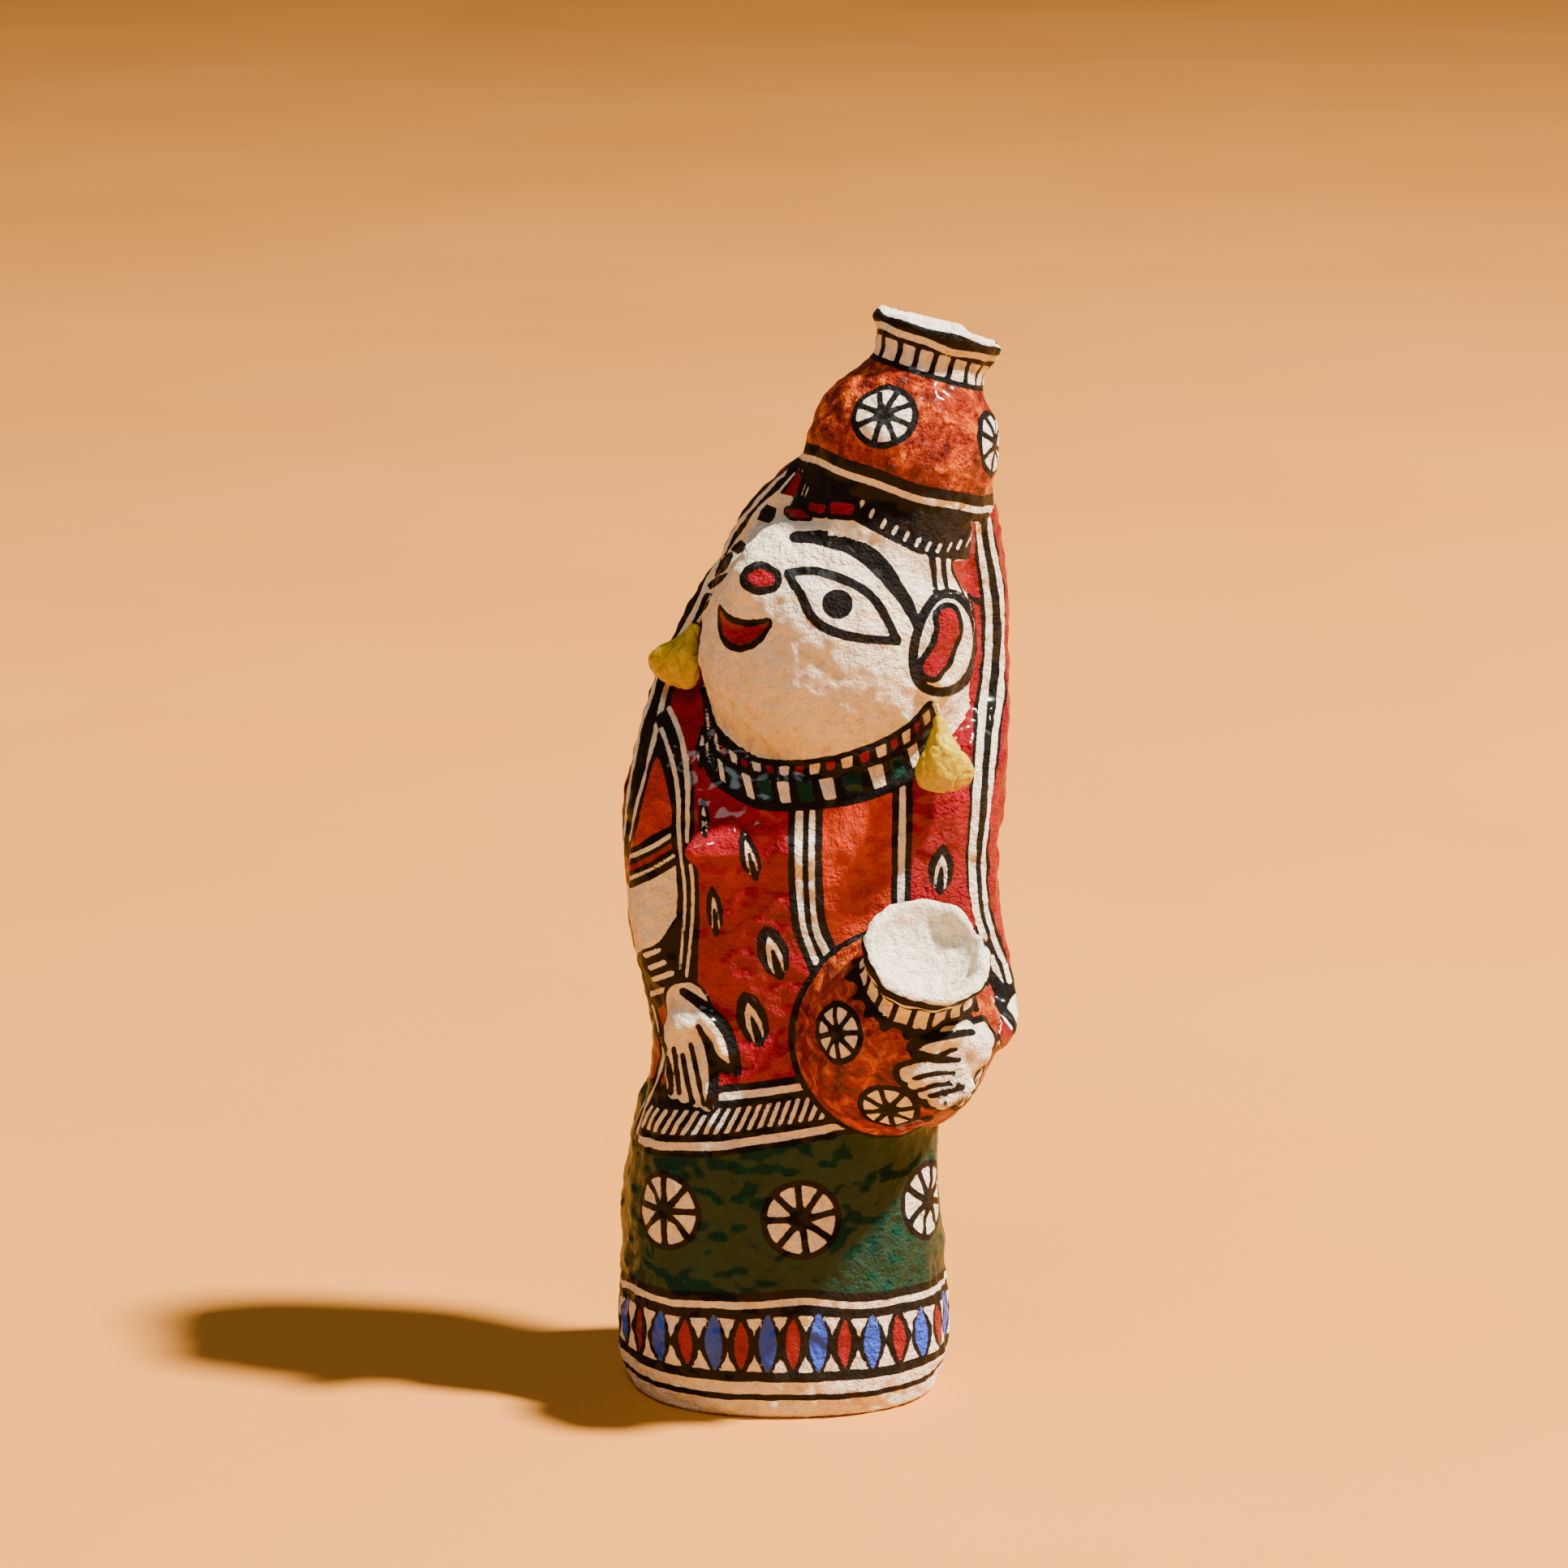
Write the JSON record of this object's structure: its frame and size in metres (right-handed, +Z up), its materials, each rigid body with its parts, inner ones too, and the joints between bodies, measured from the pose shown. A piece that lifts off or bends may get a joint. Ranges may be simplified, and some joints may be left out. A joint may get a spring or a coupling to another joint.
{
  "type": "papier-mache figure",
  "caption": "Standing folk-style papier-mache woman holding a water pot on her head and another at her hip, with two hanging earrings; stands on its own flat underside.",
  "frame": {"origin": "middle of the flat underside", "axes": "+Z up the figure, -Y to the front, +X to the right as seen from the front"},
  "size_m": [0.0938, 0.0811, 0.2557],
  "materials": {
    "painted_papier_mache": "hand-painted papier-mache: matt cream ground with glossy red, orange, green and black paint",
    "yellow_paint": "semi-gloss bright yellow paint over lumpy pulp",
    "thread": "dull cotton thread"
  },
  "bodies": {
    "root": {"figure": "painted_papier_mache", "left_earring": "yellow_paint", "right_earring": "yellow_paint", "left_earring_thread": "thread", "right_earring_thread": "thread"}
  },
  "joints": []
}
